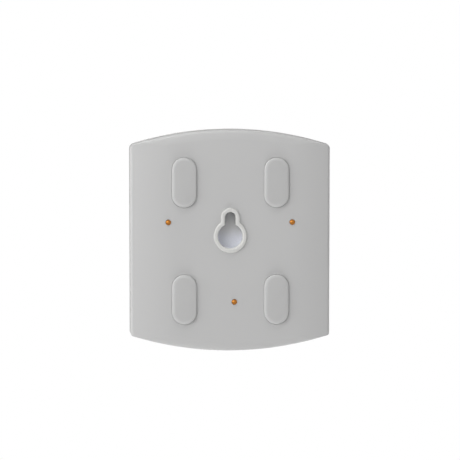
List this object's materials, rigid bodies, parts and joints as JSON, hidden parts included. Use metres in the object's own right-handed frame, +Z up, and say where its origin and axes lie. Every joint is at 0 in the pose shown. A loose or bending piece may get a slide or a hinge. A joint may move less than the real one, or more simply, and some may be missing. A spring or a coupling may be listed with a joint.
{
  "type": "water leak sensor",
  "caption": "Flat battery-powered floor sensor with bowed ends, long feet, gold probe pins, a keyhole hanger underneath, and a test button in a light ring on top.",
  "frame": {"origin": "centre of the outline at the plane of the feet", "axes": "+Z up, out of the front cover; +Y towards the narrow end of the keyhole; the probe pins face -Z"},
  "size_m": [0.0708, 0.0782, 0.0198],
  "materials": {
    "rear_shell": "fine satin texture, pale grey",
    "front_shell": "fine satin texture, white-grey",
    "hanger": "smooth moulded, ivory white",
    "feet": "soft silicone in the case's colour",
    "seal": "dark silicone",
    "foam": "black closed-cell foam",
    "gold": "gold plate over brass",
    "spring_metal": "bright nickel plate",
    "screw_steel": "zinc plate",
    "cell_steel": "polished nickel",
    "board": "green solder mask",
    "black_plastic": "moulded, black",
    "chip": "moulded epoxy",
    "ceramic": "tan ceramic",
    "ferrite": "dark ferrite",
    "can": "bare drawn can",
    "piezo": "brass disc",
    "membrane": "white vent membrane",
    "light_guide": "frosted clear plastic",
    "button": "satin, as the front cover"
  },
  "bodies": {
    "case": {"rear_cover": "rear_shell", "front_cover": "front_shell", "cover_gasket": "seal", "cover_screws": "screw_steel", "foot_upper_left": "feet", "foot_upper_right": "feet", "foot_lower_left": "feet", "foot_lower_right": "feet", "hanger_cup": "hanger", "hanger_seal": "seal", "probe_left": "gold", "probe_right": "gold", "probe_lower": "gold", "probe_seal_left": "seal", "probe_seal_right": "seal", "probe_seal_lower": "seal", "probe_contact_left": "spring_metal", "probe_contact_right": "spring_metal", "probe_contact_lower": "spring_metal", "circuit_board": "board", "coin_cell": "cell_steel", "cell_holder": "black_plastic", "cell_contact_minus": "spring_metal", "cell_contact_plus": "spring_metal", "light_ring": "light_guide", "switch_body": "black_plastic", "status_lamps": "light_guide", "sounder_case": "black_plastic", "piezo_disc": "piezo", "sounder_gasket": "foam", "sound_membrane": "membrane", "radio_board": "board", "radio_shield": "can", "radio_aerial": "spring_metal", "controller_chip": "chip", "chip_capacitors": "ceramic", "boost_coil": "ferrite", "reservoir_capacitor": "can"},
    "button": {"test_button": "button", "switch_plunger": "black_plastic"}
  },
  "joints": [
    {"name": "button_press", "type": "slide", "parent": "case", "child": "button", "axis": [0, 0, -1], "range_m": [0, 0.0004], "stiffness_N_per_m": 300}
  ]
}
